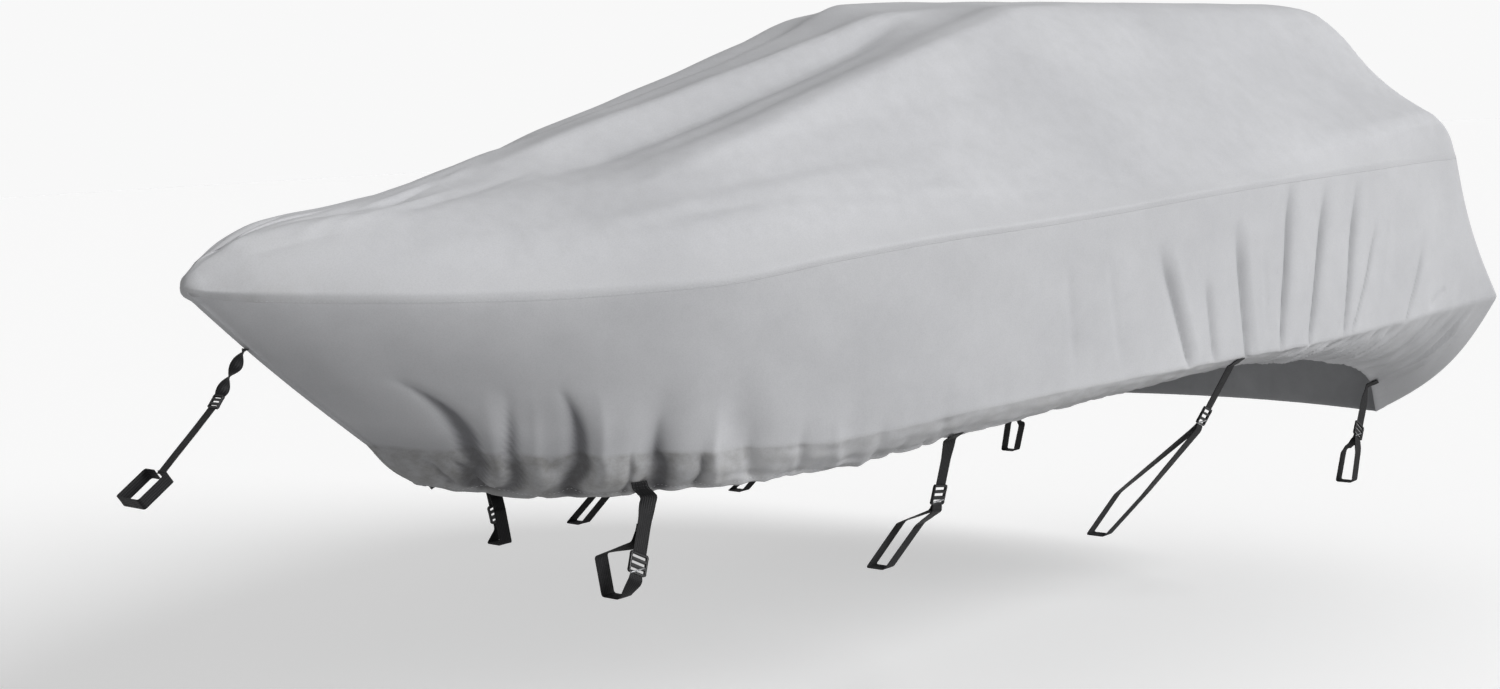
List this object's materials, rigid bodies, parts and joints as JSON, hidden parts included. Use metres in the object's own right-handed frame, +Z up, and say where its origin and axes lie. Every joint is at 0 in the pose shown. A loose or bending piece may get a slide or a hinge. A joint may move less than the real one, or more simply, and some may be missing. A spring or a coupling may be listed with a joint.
{
  "type": "boat cover",
  "caption": "Fitted cloth cover for a small open motor boat, high over the windscreen, with webbing tie-down straps and buckles.",
  "frame": {"origin": "underside of the top on the centre line, where the boat's windscreen frame carries the cloth", "axes": "+X aft from bow to stern, +Y to starboard, +Z up"},
  "size_m": [4.2931, 1.89, 1.5184],
  "materials": {
    "cloth": "matte coated polyester, light grey",
    "webbing": "black woven webbing",
    "buckle": "black moulded"
  },
  "bodies": {
    "root": {"top_panel": "cloth", "side_panel_port": "cloth", "side_panel_starboard": "cloth", "transom_panel": "cloth", "port_strap_1_upper": "webbing", "port_strap_1_buckle": "buckle", "port_strap_1_lower": "webbing", "port_strap_2_upper": "webbing", "port_strap_2_buckle": "buckle", "port_strap_2_lower": "webbing", "port_strap_3_upper": "webbing", "port_strap_3_buckle": "buckle", "port_strap_3_lower": "webbing", "port_strap_4_upper": "webbing", "port_strap_4_buckle": "buckle", "port_strap_4_lower": "webbing", "starboard_strap_1_upper": "webbing", "starboard_strap_1_buckle": "buckle", "starboard_strap_1_lower": "webbing", "starboard_strap_2_upper": "webbing", "starboard_strap_2_buckle": "buckle", "starboard_strap_2_lower": "webbing", "starboard_strap_3_upper": "webbing", "starboard_strap_3_buckle": "buckle", "starboard_strap_3_lower": "webbing", "starboard_strap_4_upper": "webbing", "starboard_strap_4_buckle": "buckle", "starboard_strap_4_lower": "webbing", "bow_strap_upper": "webbing", "bow_strap_buckle": "buckle", "bow_strap_lower": "webbing", "bow_strap_band": "webbing"}
  },
  "joints": []
}
